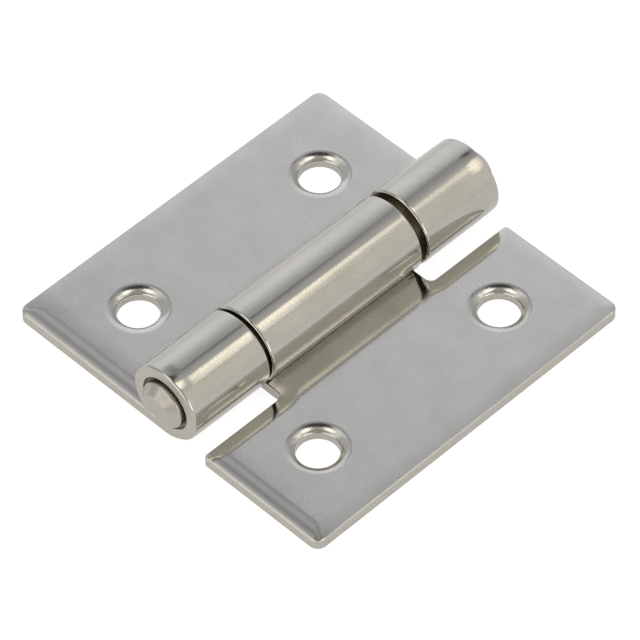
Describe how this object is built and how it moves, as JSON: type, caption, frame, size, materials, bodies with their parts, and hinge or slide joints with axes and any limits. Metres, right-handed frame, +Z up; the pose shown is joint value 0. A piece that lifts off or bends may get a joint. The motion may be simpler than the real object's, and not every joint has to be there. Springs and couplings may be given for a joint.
{
  "type": "hinge",
  "caption": "Stamped and rolled stainless steel butt hinge, open flat, with interleaved knuckles on a plain turned pin and two fixing holes in each leaf.",
  "frame": {"origin": "on the mounting plane, straight below the pin's axis, halfway along the barrel", "axes": "+Y along the pin to its far end, +X towards the free edge of the leaf with the centre knuckle, +Z up from the leaves' undersides to the barrel"},
  "size_m": [0.05, 0.0534, 0.0103],
  "materials": {
    "polished_sheet": "satin polished stainless sheet, with a fine orange-peel grain on the rolled knuckles",
    "turned_pin": "fine turned steel, dull on its end faces"
  },
  "bodies": {
    "fixed_leaf": {"outer_knuckle_leaf": "polished_sheet", "hinge_pin": "turned_pin"},
    "swing_leaf": {"centre_knuckle_leaf": "polished_sheet"}
  },
  "joints": [
    {"name": "leaf_swing", "type": "hinge", "parent": "fixed_leaf", "child": "swing_leaf", "pos_m": [0, 0, 0.00515], "axis": [0, -1, 0], "range_deg": [-95, 190]}
  ]
}
